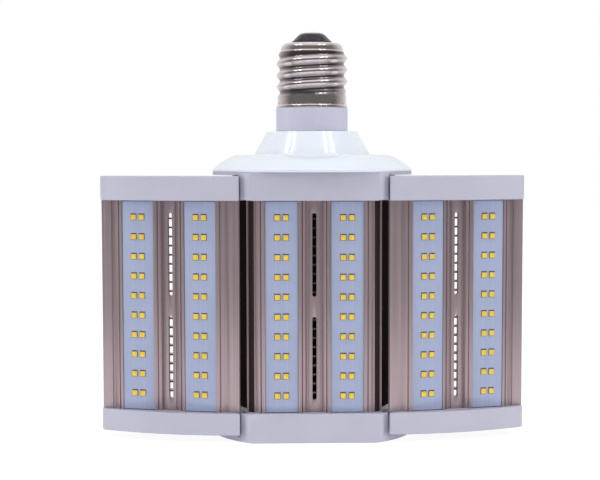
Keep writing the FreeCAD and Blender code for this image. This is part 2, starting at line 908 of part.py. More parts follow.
def base_contact():
    # a riveted button with a sloped edge
    body = new_body("base_contact")
    seat = shell_top + s.insulator_height
    revolve(body, "contact", [
        (0, shell_top - s.insulator_plug),
        (s.contact_stem, shell_top - s.insulator_plug),
        (s.contact_stem, seat),
        (s.contact_radius, seat),
        (s.contact_radius, seat + s.contact_edge),
        (s.contact_face, seat + s.contact_height),
        (0, seat + s.contact_height),
    ])
    return body


def driver():
    # the board slides into the tube's rails and stands on the lower cap
    board = new_body("driver_board")
    sketch = sketch_on(board, "board_outline", "XY_Plane", s.lower_plate)
    side = driver_board_side
    rectangle(sketch, -side, side, driver_rear - s.driver_board_thick, driver_rear)
    pad(board, sketch, "board", s.driver_board_height)
    # components stand on the board's rear face, so their sketches look along +Y
    face = -driver_rear
    transformer = new_body("driver_transformer")
    sketch = sketch_on(transformer, "core_outline", "XZ_Plane", face - s.transformer_depth)
    width = s.transformer_width / 2
    rectangle(sketch, -width, width, s.transformer_level, s.transformer_level + s.transformer_height)
    pad(transformer, sketch, "core", s.transformer_depth)
    capacitors = new_body("driver_capacitors")
    sketch = sketch_on(capacitors, "can_outline", "XZ_Plane", face - s.capacitor_length)
    for side in (-1, 1):
        circle(sketch, (side * s.capacitor_spacing / 2, s.capacitor_level), s.capacitor_radius)
    pad(capacitors, sketch, "cans", s.capacitor_length)
    choke = new_body("driver_choke")
    sketch = sketch_on(choke, "ring_outline", "XZ_Plane", face - s.choke_depth)
    for radius in (s.choke_radius, s.choke_bore):
        circle(sketch, (0, s.choke_level), radius)
    pad(choke, sketch, "ring", s.choke_depth)


base_contact()
base_insulator()
screw_shell()
neck_collar()
shoulder_housing()
column_caps()
column_heatsink()
boards("column", 0, column_face)
emitters("column", 0, column_face)
column_fin_half = s.column_fin_width / 2
column_fin_back = s.column_fin_depth - tube_inner_front
fins("column", -column_fin_half, column_fin_half, -tube_inner_front, column_fin_back)
screws("column_screws", column_screw_places)
driver()
for wing_name, wing_side in (("left_wing", -1), ("right_wing", 1)):
    wing(wing_name, wing_side)
    hinge_pins(wing_name, wing_side)

doc.recompute()
for item in doc.Objects:
    if {"Invalid", "Error"} & set(item.State):
        raise RuntimeError(f"{item.Label} failed: {item.State}")
for sub_part in sub_parts:
    if sub_part.Shape.isNull() or not sub_part.Shape.isValid() or not sub_part.Shape.Solids:
        raise RuntimeError(f"{sub_part.Label} has no valid solid")

os.makedirs("parts", exist_ok=True)
for sub_part in sub_parts:
    sub_part.Shape.exportStep(f"parts/{sub_part.Label}.step")
    print(sub_part.Label, len(sub_part.Shape.Solids), "solids", round(sub_part.Shape.Volume, 1), "mm3")
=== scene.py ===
import math

import bmesh
import bpy
from mathutils import Matrix, Vector
from mathutils.bvhtree import BVHTree


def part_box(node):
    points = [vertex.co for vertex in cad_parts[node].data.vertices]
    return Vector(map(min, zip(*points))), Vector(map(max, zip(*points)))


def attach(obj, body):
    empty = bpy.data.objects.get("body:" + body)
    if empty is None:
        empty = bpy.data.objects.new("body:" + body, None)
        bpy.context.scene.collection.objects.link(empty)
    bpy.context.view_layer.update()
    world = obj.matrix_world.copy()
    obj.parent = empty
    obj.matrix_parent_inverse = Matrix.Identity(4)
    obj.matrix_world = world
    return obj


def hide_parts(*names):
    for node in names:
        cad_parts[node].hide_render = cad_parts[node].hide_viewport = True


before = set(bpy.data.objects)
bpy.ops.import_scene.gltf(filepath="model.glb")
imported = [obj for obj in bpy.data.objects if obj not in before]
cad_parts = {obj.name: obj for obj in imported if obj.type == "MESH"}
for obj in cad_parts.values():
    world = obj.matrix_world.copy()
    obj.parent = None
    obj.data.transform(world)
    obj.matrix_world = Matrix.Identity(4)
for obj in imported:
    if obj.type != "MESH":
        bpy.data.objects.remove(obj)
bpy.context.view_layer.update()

panelNames = ("column", "left_wing", "right_wing")
print("frame loaded,", len(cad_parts), "nodes")


# small helpers for node materials

def startMaterial(name, look):
    material = bpy.data.materials.new(name)
    material.use_nodes = True
    shader = material.node_tree.nodes["Principled BSDF"]
    for socket, value in look.items():
        shader.inputs[socket].default_value = value
    return material, shader


def addNode(material, kind, links=None, **settings):
    node = material.node_tree.nodes.new(kind)
    for key, value in settings.items():
        setattr(node, key, value)
    for socket, source in (links or {}).items():
        if isinstance(source, bpy.types.NodeSocket):
            material.node_tree.links.new(source, node.inputs[socket])
        else:
            node.inputs[socket].default_value = source
    return node


def feed(material, source, target):
    material.node_tree.links.new(source, target)


def objectPoint(material, stretch):
    place = addNode(material, "ShaderNodeTexCoord")
    return addNode(material, "ShaderNodeMapping", {"Vector": place.outputs["Object"], "Scale": stretch})


def awayFromAxis(material, place):
    level = addNode(material, "ShaderNodeVectorMath", {0: place, 1: (1, 1, 0)}, operation="MULTIPLY")
    distance = addNode(material, "ShaderNodeVectorMath", {0: level.outputs[0]}, operation="LENGTH")
    return distance.outputs["Value"]


def mathOn(material, operation, *values):
    return addNode(material, "ShaderNodeMath", dict(enumerate(values)), operation=operation).outputs[0]


noiseLook = {"scale": 1.0, "roughness": 0.55, "cloudDetail": 4.0, "grainDetail": 3.0}


def noiseOn(material, stretch, detail):
    point = objectPoint(material, stretch)
    return addNode(material, "ShaderNodeTexNoise", {
        "Vector": point.outputs["Vector"], "Scale": noiseLook["scale"], "Detail": detail,
        "Roughness": noiseLook["roughness"],
    })


def ramp(material, source, low, high, start=0.3, end=0.7):
    node = addNode(material, "ShaderNodeValToRGB", {"Fac": source})
    for stop, position, colour in zip(node.color_ramp.elements, (start, end), (low, high)):
        stop.position = position
        stop.color = (*colour, 1.0)
    return node.outputs["Color"]


def spread(material, source, low, high, start=0.3, end=0.7):
    node = addNode(material, "ShaderNodeMapRange", {
        "Value": source, "From Min": start, "From Max": end, "To Min": low, "To Max": high,
    })
    return node.outputs["Result"]


def bump(material, shader, height, strength, distance):
    node = addNode(material, "ShaderNodeBump", {"Height": height, "Strength": strength, "Distance": distance})
    feed(material, node.outputs["Normal"], shader.inputs["Normal"])


def mottled(name, finish):
    # colour and gloss drift slowly over the surface, and a finer grain lifts it
    material, shader = startMaterial(name, finish["shader"])
    cloud = noiseOn(material, finish["cloud"], noiseLook["cloudDetail"])
    feed(material, ramp(material, cloud.outputs["Fac"], *finish["colours"]), shader.inputs["Base Color"])
    feed(material, spread(material, cloud.outputs["Fac"], *finish["roughness"]), shader.inputs["Roughness"])
    grain = noiseOn(material, finish["grain"], noiseLook["grainDetail"])
    bump(material, shader, grain.outputs["Fac"], finish["bump"], finish["depth"])
    return material


# finishes

capFinish = {
    "shader": {"Metallic": 0.0, "Specular IOR Level": 0.45},
    "colours": ((0.485, 0.482, 0.590), (0.515, 0.512, 0.620)),
    "roughness": (0.36, 0.46),
    "cloud": (38, 38, 38), "grain": (2600, 2600, 2600), "bump": 0.10, "depth": 0.00006,
}
shoulderFinish = {
    "shader": {"Metallic": 0.0, "Specular IOR Level": 0.6, "Coat Weight": 0.6, "Coat Roughness": 0.04},
    "colours": ((0.740, 0.785, 0.870), (0.770, 0.815, 0.895)),
    "roughness": (0.14, 0.20),
    "cloud": (30, 30, 30), "grain": (900, 900, 900), "bump": 0.03, "depth": 0.00005,
}
collarFinish = {
    "shader": {"Metallic": 0.0, "Specular IOR Level": 0.4},
    "colours": ((0.545, 0.553, 0.665), (0.575, 0.583, 0.695)),
    "roughness": (0.48, 0.58),
    "cloud": (45, 45, 45), "grain": (2200, 2200, 2200), "bump": 0.14, "depth": 0.00006,
}
nickelFinish = {
    "shader": {"Metallic": 1.0},
    "colours": ((0.72, 0.625, 0.630), (0.84, 0.740, 0.745)),
    "roughness": (0.10, 0.18),
    "cloud": (160, 160, 420), "grain": (350, 350, 2600), "bump": 0.05, "depth": 0.00004,
    # root to flank: where painted shade darkens the thread, down to rootShade at the root; none near the top
    "root": 0.0179, "flank": 0.0192, "rootShade": 0.26, "unshadedTop": 0.0047, "unshadedFade": 0.0012,
}
tinFinish = {
    "shader": {"Metallic": 1.0},
    "colours": ((0.72, 0.70, 0.67), (0.84, 0.82, 0.79)),
    "roughness": (0.26, 0.42),
    "cloud": (300, 300, 300), "grain": (900, 900, 900), "bump": 0.12, "depth": 0.00008,
}
glassFinish = {
    "shader": {"Metallic": 0.0, "Specular IOR Level": 0.3},
    "colours": ((0.010, 0.009, 0.014), (0.028, 0.024, 0.036)),
    "roughness": (0.06, 0.20),
    "cloud": (420, 420, 420), "grain": (300, 300, 420), "bump": 0.85, "depth": 0.0006,
}
aluminiumFinish = {
    "shader": {"Metallic": 0.65, "Specular IOR Level": 0.3},
    "colours": ((0.400, 0.317, 0.337), (0.500, 0.396, 0.421)),
    "roughness": (0.36, 0.48),
    "cloud": (850, 850, 5), "grain": (5200, 5200, 16), "bump": 0.16, "depth": 0.00005,
}
# near-black painted shade on the round tube behind the column's panel
tubePaintedShadeFinish = {
    "shader": {"Metallic": 0.0, "Specular IOR Level": 0.08},
    "colours": ((0.020, 0.0135, 0.0145), (0.032, 0.0220, 0.0235)),
    "roughness": (0.50, 0.62),
    "cloud": (420, 420, 5), "grain": (5200, 5200, 16), "bump": 0.16, "depth": 0.00005,
}
# painted shade in the hinge gap beside the wings, near black and without gloss
gapPaintedShadeFinish = {
    **tubePaintedShadeFinish,
    "shader": {"Metallic": 0.0, "Specular IOR Level": 0.0},
    "colours": ((0.032, 0.0210, 0.0215), (0.046, 0.0310, 0.0315)),
}
finFinish = {
    "shader": {"Metallic": 1.0},
    "colours": ((0.22, 0.20, 0.20), (0.31, 0.285, 0.285)),
    "roughness": (0.30, 0.42),
    "cloud": (22, 700, 700), "grain": (60, 3800, 3800), "bump": 0.12, "depth": 0.00004,
}
steelFinish = {
    "shader": {"Metallic": 1.0},
    "colours": ((0.50, 0.50, 0.50), (0.66, 0.66, 0.65)),
    "roughness": (0.24, 0.38),
    "cloud": (500, 500, 500), "grain": (2400, 2400, 2400), "bump": 0.08, "depth": 0.00004,
}
ledFrameFinish = {
    "shader": {"Metallic": 0.0, "Specular IOR Level": 0.5},
    "colours": ((0.70, 0.54, 0.16), (0.78, 0.62, 0.24)),
    "roughness": (0.30, 0.42),
    "cloud": (700, 700, 700), "grain": (3000, 3000, 3000), "bump": 0.05, "depth": 0.00003,
}
phosphorFinish = {
    "shader": {"Metallic": 0.0, "Specular IOR Level": 0.5},
    "colours": ((0.800, 0.520, 0.028), (0.920, 0.670, 0.050)),
    "roughness": (0.28, 0.40),
    "cloud": (620, 620, 620), "grain": (4200, 4200, 4200), "bump": 0.12, "depth": 0.00004,
}
# painted shadow round each package, a dark purple plate behind it
ledShadowFinish = {
    "shader": {"Metallic": 0.0, "Specular IOR Level": 0.4},
    "colours": ((0.085, 0.066, 0.130), (0.120, 0.096, 0.175)),
    "roughness": (0.34, 0.46),
    "cloud": (800, 800, 800), "grain": (3200, 3200, 3200), "bump": 0.10, "depth": 0.00003,
}
laminateFinish = {
    "shader": {"Metallic": 0.0},
    "colours": ((0.02, 0.16, 0.06), (0.03, 0.22, 0.09)),
    "roughness": (0.38, 0.50),
    "cloud": (120, 120, 120), "grain": (1800, 1800, 1800), "bump": 0.10, "depth": 0.00005,
}
ferriteFinish = {
    "shader": {"Metallic": 0.0},
    "colours": ((0.030, 0.028, 0.028), (0.055, 0.050, 0.048)),
    "roughness": (0.55, 0.70),
    "cloud": (260, 260, 260), "grain": (1500, 1500, 1500), "bump": 0.30, "depth": 0.0001,
}
sleeveFinish = {
    "shader": {"Metallic": 0.0},
    "colours": ((0.012, 0.012, 0.030), (0.020, 0.020, 0.046)),
    "roughness": (0.24, 0.32),
    "cloud": (90, 90, 90), "grain": (1200, 1200, 1200), "bump": 0.06, "depth": 0.00005,
}
boardFinish = {
    "shader": {"Metallic": 0.0, "Specular IOR Level": 0.5},
    "colours": ((0.345, 0.395, 0.570), (0.372, 0.422, 0.597)),
    "roughness": (0.34, 0.44),
    "cloud": (60, 60, 60), "grain": (2400, 2400, 2400), "bump": 0.06, "depth": 0.00004,
    "trace": (0.412, 0.460, 0.622), "traceLines": (0.335, 0.665), "traceCore": 0.006, "traceHalf": 0.012,
}


def boardCoating(finish):
    # white coating with two pale copper runs under it, across the board's own width
    material = mottled("boardCoating", finish)
    shader = material.node_tree.nodes["Principled BSDF"]
    coating = shader.inputs["Base Color"].links[0].from_socket
    place = addNode(material, "ShaderNodeUVMap", uv_map="board")
    across = addNode(material, "ShaderNodeSeparateXYZ", {"Vector": place.outputs["UV"]}).outputs["X"]
    for line in finish["traceLines"]:
        away = mathOn(material, "ABSOLUTE", mathOn(material, "SUBTRACT", across, line))
        share = spread(material, away, 1.0, 0.0, finish["traceCore"], finish["traceHalf"])
        # a colour mix takes its share at socket 0 and its colours at 6 and 7, and gives its result at 2
        mix = addNode(material, "ShaderNodeMix", data_type="RGBA")
        feed(material, share, mix.inputs[0])
        feed(material, coating, mix.inputs[6])
        mix.inputs[7].default_value = (*finish["trace"], 1.0)
        coating = mix.outputs[2]
    feed(material, coating, shader.inputs["Base Color"])
    return material


def rolledNickel(finish):
    # nickel plating darkened by painted shade in the roots of the thread, and left at its full colour above
    # it
    material = mottled("shellNickel", finish)
    shader = material.node_tree.nodes["Principled BSDF"]
    plating = shader.inputs["Base Color"].links[0].from_socket
    place = addNode(material, "ShaderNodeTexCoord").outputs["Object"]
    radius = awayFromAxis(material, place)
    height = addNode(material, "ShaderNodeSeparateXYZ", {"Vector": place}).outputs["Z"]
    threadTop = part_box("screw_shell")[1].z - finish["unshadedTop"]
    # painted shade, darkest in the roots and fading out up the flanks
    inThread = spread(material, radius, finish["rootShade"], 1.0, finish["root"], finish["flank"])
    above = spread(material, height, 0.0, 1.0, threadTop - finish["unshadedFade"], threadTop)
    share = mathOn(material, "MAXIMUM", inThread, above)
    shaded = addNode(material, "ShaderNodeVectorMath", {0: plating, "Scale": share}, operation="SCALE")
    feed(material, shaded.outputs[0], shader.inputs["Base Color"])
    return material


capPlastic = mottled("capPlastic", capFinish)
shoulderPlastic = mottled("shoulderPlastic", shoulderFinish)
collarPlastic = mottled("collarPlastic", collarFinish)
shellNickel = rolledNickel(nickelFinish)
contactTin = mottled("contactTin", tinFinish)
insulatorGlass = mottled("insulatorGlass", glassFinish)
extrudedAluminium = mottled("extrudedAluminium", aluminiumFinish)
tubePaintedShade = mottled("tubePaintedShade", tubePaintedShadeFinish)
gapPaintedShade = mottled("gapPaintedShade", gapPaintedShadeFinish)
finAluminium = mottled("finAluminium", finFinish)
screwSteel = mottled("screwSteel", steelFinish)
ledFrame = mottled("ledFrame", ledFrameFinish)
ledPhosphor = mottled("ledPhosphor", phosphorFinish)
ledPaintedShadow = mottled("ledPaintedShadow", ledShadowFinish)
driverLaminate = mottled("driverLaminate", laminateFinish)
driverFerrite = mottled("driverFerrite", ferriteFinish)
driverSleeve = mottled("driverSleeve", sleeveFinish)
whiteBoard = boardCoating(boardFinish)
print("finishes made")


# small helpers for meshes

meshTest = {"upright": 0.8, "sideways": 0.5, "clear": 0.0001, "doubles": 1e-6}


def finishPiece(name, shape, materials, body, nodes, smoothAngle=30, flatFaces=False):
    mesh = bpy.data.meshes.new(name)
    shape.to_mesh(mesh)
    shape.free()
    mesh.shade_smooth()
    mesh.set_sharp_from_angle(angle=math.radians(smoothAngle))
    for material in materials:
        mesh.materials.append(material)
    piece = bpy.data.objects.new(name, mesh)
    bpy.context.scene.collection.objects.link(piece)
    if flatFaces:
        # large faces stay flat, and the narrow ones beside them take the shading of the curve
        piece.modifiers.new("flatFaces", "WEIGHTED_NORMAL").keep_sharp = True
    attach(piece, body)
    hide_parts(*nodes)


def sharpEdges(shape, angle):
    limit = math.radians(angle)
    return [edge for edge in shape.edges if edge.is_manifold and edge.calc_face_angle() > limit]


def bevelEdges(shape, edges, width, segments, clamped=True):
    bmesh.ops.bevel(
        shape, geom=edges, offset=width, offset_type="OFFSET", affect="EDGES", segments=segments,
        profile=0.5, material=-1, clamp_overlap=clamped,
    )


def mergedCopy(node, edge):
    # the CAD node's own form, its triangles joined into flat faces
    shape = bmesh.new()
    shape.from_mesh(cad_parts[node].data)
    bmesh.ops.remove_doubles(shape, verts=shape.verts, dist=edge["merge"])
    bmesh.ops.dissolve_limit(
        shape, angle_limit=math.radians(edge["flat"]), verts=shape.verts, edges=shape.edges,
        use_dissolve_boundaries=False,
    )
    return shape


def edgeMiddle(edge):
    return (edge.verts[0].co + edge.verts[1].co) / 2


def isUpright(edge):
    return abs(edge.verts[0].co.z - edge.verts[1].co.z) > meshTest["upright"] * edge.calc_length()


def faceHeight(face):
    heights = [vert.co.z for vert in face.verts]
    return max(heights) - min(heights)


def outerEdges(shape, edge):
    # convex edges whose side faces look out into the open, so not those of bores and hollows
    tree = BVHTree.FromBMesh(shape)
    chosen = []
    for sharp in sharpEdges(shape, edge["angle"]):
        sides = [face for face in sharp.link_faces if abs(face.normal.z) < meshTest["sideways"]]
        tall = [faceHeight(face) for face in sides]
        if not sharp.is_convex or min(tall, default=0) < edge["least"]:
            continue
        starts = [(edgeMiddle(sharp) + face.normal * meshTest["clear"], face.normal) for face in sides]
        if all(tree.ray_cast(start, way, edge["open"])[0] is None for start, way in starts):
            chosen.append(sharp)
    return chosen


def rounded(profile, rounds):
    # a closed chain of (radius, height) with some corners turned into curves of the given reach
    points = [Vector(corner) for corner in profile]
    chain = []
    for index, corner in enumerate(points):
        reach, segments = rounds.get(index, (0.0, 0))
        if segments == 0:
            chain.append(corner)
            continue
        first = (points[index - 1] - corner).normalized() * reach
        last = (points[(index + 1) % len(points)] - corner).normalized() * reach
        for step in range(segments + 1):
            share = step / segments
            chain.append(corner + first * (1 - share) ** 2 + last * share ** 2)
    return chain


def turned(chain, steps):
    # a closed chain of (radius, height) turned once round the lamp axis
    shape = bmesh.new()
    corners = [shape.verts.new((radius, 0, height)) for radius, height in chain]
    for first, second in zip(corners, corners[1:] + corners[:1]):
        shape.edges.new((first, second))
    bmesh.ops.spin(
        shape, geom=shape.verts[:] + shape.edges[:], cent=(0, 0, 0), axis=(0, 0, 1), dvec=(0, 0, 0),
        angle=2 * math.pi, steps=steps, use_merge=True, use_duplicate=False,
    )
    bmesh.ops.remove_doubles(shape, verts=shape.verts, dist=meshTest["doubles"])
    bmesh.ops.recalc_face_normals(shape, faces=shape.faces)
    return shape


def smoothStep(value):
    share = min(max(value, 0.0), 1.0)
    return share * share * (3 - 2 * share)


# where the panels stand, from the boards that they carry

def centreOf(node):
    low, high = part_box(node)
    return (low + high) / 2


def panelPlace(panel):
    left, right = (centreOf(f"{panel}_{side}_board") for side in ("left", "right"))
    along = (right - left).normalized()
    up = Vector((0, 0, 1))
    inward = up.cross(along)
    turn = Matrix((along, inward, up)).transposed().to_4x4()
    return Matrix.Translation((left + right) / 2) @ turn, (right - left).length


# caps

capEdge = {
    "width": 0.0006, "segments": 3, "angle": 35, "flat": 0.2, "merge": 1e-5, "least": 0.001, "open": 0.3,
    "cornerRound": 0.0020, "cornerSegments": 6, "cornerReach": 0.004, "slack": 0.0001, "smooth": 44,
}
capNodes = {
    "column_lower_cap": "column", "column_upper_cap": "column",
    "left_wing_lower_cap": "left_wing", "left_wing_upper_cap": "left_wing",
    "right_wing_lower_cap": "right_wing", "right_wing_upper_cap": "right_wing",
}


def makeCap(node, body):
    # full height corners at the front first, then the outline at the top and the foot
    shape = mergedCopy(node, capEdge)
    low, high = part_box(node)
    tall = high.z - low.z - capEdge["slack"]
    front = low.y + capEdge["cornerReach"]
    corners = [
        edge for edge in outerEdges(shape, capEdge)
        if isUpright(edge) and edge.calc_length() > tall and edgeMiddle(edge).y < front
    ]
    bevelEdges(shape, corners, capEdge["cornerRound"], capEdge["cornerSegments"])
    # the edge that meets the shoulder stays sharp, and so do ledges
    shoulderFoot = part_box("shoulder_housing")[0].z
    levels = [level for level in (low.z, high.z) if abs(level - shoulderFoot) > capEdge["slack"]]
    outline = [
        edge for edge in outerEdges(shape, capEdge)
        if any(all(abs(vert.co.z - level) < capEdge["slack"] for vert in edge.verts) for level in levels)
    ]
    # the short edges of its curves would hold the width back, so it isn't clamped
    bevelEdges(shape, outline, capEdge["width"], capEdge["segments"], clamped=False)
    print(node, len(corners), "corners and", len(outline), "outline edges rounded")
    finishPiece(
        f"{node}_moulding", shape, [capPlastic], body, [node],
        capEdge["smooth"], flatFaces=True,
    )


for capNode, capBody in capNodes.items():
    makeCap(capNode, capBody)
print("caps rounded")


# extruded heat sinks

extrusionEdge = {"width": 0.00016, "segments": 2, "angle": 20, "flat": 0.2, "merge": 1e-5}
# which faces of the column take painted shade: the tube, and the flanks in the hinge gap
tubeShape = {
    "radius": 0.0430, "slack": 0.0005, "facing": 0.95,
    "gapFront": -0.008, "flank": 0.0325, "turned": 0.65,
}


def onTube(face):
    # the round outside of the column's tube, behind its panel
    middle = face.calc_center_median()
    outward = Vector((middle.x, middle.y, 0))
    near = abs(outward.length - tubeShape["radius"]) < tubeShape["slack"]
    return near and outward.normalized().dot(face.normal) > tubeShape["facing"]


def inHingeGap(face):
    # the tube just behind the panel, and the panel's flanks that look into the gap beside the wings, which
    # take painted shade
    middle = face.calc_center_median()
    outward = math.copysign(1, middle.x) * face.normal.x
    flank = abs(middle.x) > tubeShape["flank"] and outward > tubeShape["turned"]
    return middle.y < tubeShape["gapFront"] and (flank or onTube(face))


def makeExtrusion(panel):
    node = f"{panel}_heatsink"
    edge = extrusionEdge
    shape = mergedCopy(node, edge)
    bevelEdges(shape, sharpEdges(shape, edge["angle"]), edge["width"], edge["segments"])
    finishes = [extrudedAluminium]
    if panel == "column":
        finishes += [tubePaintedShade, gapPaintedShade]
        # painted shade: the tube and the flanks in the hinge gap go near black
        for face in filter(onTube, shape.faces):
            face.material_index = 1
        for face in filter(inHingeGap, shape.faces):
            face.material_index = 2
    finishPiece(f"{panel}_extrusion", shape, finishes, panel, [node])


for panelName in panelNames:
    makeExtrusion(panelName)
print("extrusions rounded")


# boards with their coating

boardShape = {"width": 0.0177, "thick": 0.0015, "edge": 0.0002, "segments": 2}


def makeBoard(panel, side):
    node = f"{panel}_{side}_board"
    place, spacing = panelPlace(panel)
    low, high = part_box(node)
    height = high.z - low.z
    offset = (0.5 if side == "right" else -0.5) * spacing
    shape = bmesh.new()
    bmesh.ops.create_cube(shape, size=1.0)
    bmesh.ops.scale(shape, vec=(boardShape["width"], boardShape["thick"], height), verts=shape.verts)
    bevelEdges(shape, shape.edges[:], boardShape["edge"], boardShape["segments"])
    layer = shape.loops.layers.uv.new("board")
    for face in shape.faces:
        for loop in face.loops:
            point = loop.vert.co
            loop[layer].uv = (point.x / boardShape["width"] + 0.5, point.z / height + 0.5)
    bmesh.ops.transform(shape, matrix=place @ Matrix.Translation((offset, 0, 0)), verts=shape.verts)
    finishPiece(f"{panel}_{side}_coated_board", shape, [whiteBoard], panel, [node])


for panelName in panelNames:
    for boardSide in ("left", "right"):
        makeBoard(panelName, boardSide)
print("boards coated")


# light emitters, each a pale package with a sunk pillow of phosphor, on a dark plate of painted shadow

ledShape = {
    "pad": 0.0032, "side": 0.0028, "tall": 0.00065, "rows": 10, "columnSpacing": 0.0046,
    "edge": 0.00010, "segments": 2, "rim": 0.00008, "sink": 0.00006, "pillow": 0.00045, "crown": 0.00005,
    # these four set the plate of painted shadow behind each package
    "shadowWide": 0.0033, "shadowTall": 0.0037, "shadowLift": 0.00024, "shadowThick": 0.00010,
}


def frontFace(shape):
    return min(shape.faces, key=lambda face: face.calc_center_median().y)


def vertsOf(geometry):
    return [item for item in geometry if isinstance(item, bmesh.types.BMVert)]


def ledPackage():
    # one package about the origin, its foot at y = 0 and its light towards -Y
    part = ledShape
    shape = bmesh.new()
    bmesh.ops.create_cube(shape, size=1.0)
    bmesh.ops.scale(shape, vec=(part["side"], part["tall"], part["side"]), verts=shape.verts)
    bmesh.ops.translate(shape, vec=(0, -part["tall"] / 2, 0), verts=shape.verts)
    front = frontFace(shape)
    rim = [edge for edge in shape.edges if front in edge.link_faces[:]]
    bevelEdges(shape, rim, part["edge"], part["segments"])
    front = frontFace(shape)
    bmesh.ops.inset_individual(shape, faces=[front], thickness=part["rim"], depth=-part["sink"])
    front.material_index = 1
    made = bmesh.ops.inset_individual(shape, faces=[front], thickness=part["pillow"], depth=part["crown"])
    for face in made["faces"]:
        face.material_index = 1
    # a dark plate behind the package, larger and raised, as painted shadow that shows mostly above the
    # package and thinly at its sides and below it
    shadowPlate = bmesh.ops.create_cube(shape, size=1.0)["verts"]
    size = (part["shadowWide"], part["shadowThick"], part["shadowTall"])
    bmesh.ops.scale(shape, vec=size, verts=shadowPlate)
    bmesh.ops.translate(shape, vec=(0, -part["shadowThick"] / 2, part["shadowLift"]), verts=shadowPlate)
    for face in {face for vert in shadowPlate for face in vert.link_faces}:
        face.material_index = 2
    return shape


def makeLeds(panel):
    node = f"{panel}_leds"
    place, spacing = panelPlace(panel)
    low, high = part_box(node)
    rowSpacing = (high.z - low.z - ledShape["pad"]) / (ledShape["rows"] - 1)
    firstRow = (low.z + high.z) / 2 - place.translation.z - rowSpacing * (ledShape["rows"] - 1) / 2
    shape = ledPackage()
    pattern = shape.verts[:] + shape.edges[:] + shape.faces[:]
    places = []
    for row in range(ledShape["rows"]):
        for strip in (-0.5, 0.5):
            for column in (-0.5, 0.5):
                across = strip * spacing + column * ledShape["columnSpacing"]
                places.append(Vector((across, -boardShape["thick"] / 2, firstRow + row * rowSpacing)))
    for spot in places[1:]:
        copy = bmesh.ops.duplicate(shape, geom=pattern)["geom"]
        bmesh.ops.translate(shape, vec=spot, verts=vertsOf(copy))
    bmesh.ops.translate(shape, vec=places[0], verts=vertsOf(pattern))
    bmesh.ops.transform(shape, matrix=place, verts=shape.verts)
    finishPiece(f"{panel}_emitters", shape, [ledFrame, ledPhosphor, ledPaintedShadow], panel, [node])


for panelName in panelNames:
    makeLeds(panelName)
print("emitters placed")


# shoulder: flange and cone in one glossy moulding

shoulderShape = {
    "rim": 0.0555, "lip": 0.0013, "flangeTop": 0.0435, "coneFoot": 0.03225, "coneTop": 0.0250,
    "flange": 0.0094, "swellInset": 0.0062, "swellRise": 0.0064, "opening": 0.0183, "wall": 0.0022,
    "lipRound": 0.0006, "swellRound": 0.0030, "crownRound": 0.0036, "footRound": 0.0010, "topRound": 0.0005,
    "segments": 6, "steps": 128, "smooth": 40,
}


def makeShoulder():
    low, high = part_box("shoulder_housing")
    part = shoulderShape
    bottom, top = low.z, high.z
    level = bottom + part["flange"]
    wall = part["wall"]
    profile = [
        (part["rim"] - wall, bottom),
        (part["rim"], bottom),
        (part["rim"], bottom + part["lip"]),
        (part["rim"] - part["swellInset"], bottom + part["swellRise"]),
        (part["flangeTop"], level),
        (part["coneFoot"], level),
        (part["coneTop"], top),
        (part["opening"], top),
        (part["opening"], top - wall),
        (part["coneTop"] - wall, top - wall),
        (part["coneFoot"] - wall, level - wall),
        (part["flangeTop"] - wall, level - wall),
        (part["rim"] - wall, bottom + part["lip"]),
    ]
    corners = ("lipRound", "lipRound", "swellRound", "crownRound", "footRound", "topRound")
    rounds = {index: (part[corner], part["segments"]) for index, corner in enumerate(corners, 1)}
    shape = turned(rounded(profile, rounds), part["steps"])
    finishPiece(
        "shoulder_moulding", shape, [shoulderPlastic], "column", ["shoulder_housing"],
        part["smooth"],
    )


makeShoulder()
print("shoulder turned")


# neck collar

collarShape = {
    "radius": 0.0199, "bore": 0.0157, "lower": 0.0182, "upper": 0.0168, "spigot": 0.0050,
    "edge": 0.0005, "segments": 3, "steps": 96, "smooth": 40,
}


def makeCollar():
    low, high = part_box("neck_collar")
    part = collarShape
    bottom, top = low.z + part["spigot"], high.z - part["spigot"]
    profile = [
        (part["bore"], low.z), (part["lower"], low.z), (part["lower"], bottom), (part["radius"], bottom),
        (part["radius"], top), (part["upper"], top), (part["upper"], high.z), (part["bore"], high.z),
    ]
    rounds = {index: (part["edge"], part["segments"]) for index in (3, 4)}
    shape = turned(rounded(profile, rounds), part["steps"])
    finishPiece(
        "collar_moulding", shape, [collarPlastic], "column", ["neck_collar"],
        part["smooth"],
    )


makeCollar()
print("collar turned")


# screw shell with its rolled thread

shellShape = {
    "bead": 0.01975, "beadTall": 0.0012, "beadRound": 0.0005, "beadSegments": 4,
    "skirt": 0.0191, "skirtTall": 0.0067, "skirtCuts": 12,
    "root": 0.0179, "crest": 0.01965, "pitch": 0.00635, "start": 0.00855, "threadCuts": 76,
    "fadeLow": 0.55, "fadeHigh": 0.45, "slack": 1e-5,
    "neck": 0.01725, "neckTall": 0.0011, "neckRound": 0.0003, "neckSegments": 3,
    "shoulder": 0.0036, "shoulderRound": 0.0041, "shoulderInside": 0.0034, "shoulderSegments": 10,
    "hole": 0.0108, "wall": 0.0010, "steps": 240, "smooth": 50,
    "dimples": 11, "dimpleTurn": -95.4, "dimpleRise": 0.0022, "dimpleRadius": 0.0008, "dimpleDepth": 0.00045,
}


def shellLevels(bottom, top):
    part = shellShape
    return bottom + part["skirtTall"], top - part["shoulder"] - part["neckTall"]


def upright(radius, start, end, cuts):
    # a straight run of points on the outside of the shell
    return [(radius, start + (end - start) * cut / cuts) for cut in range(cuts + 1)]


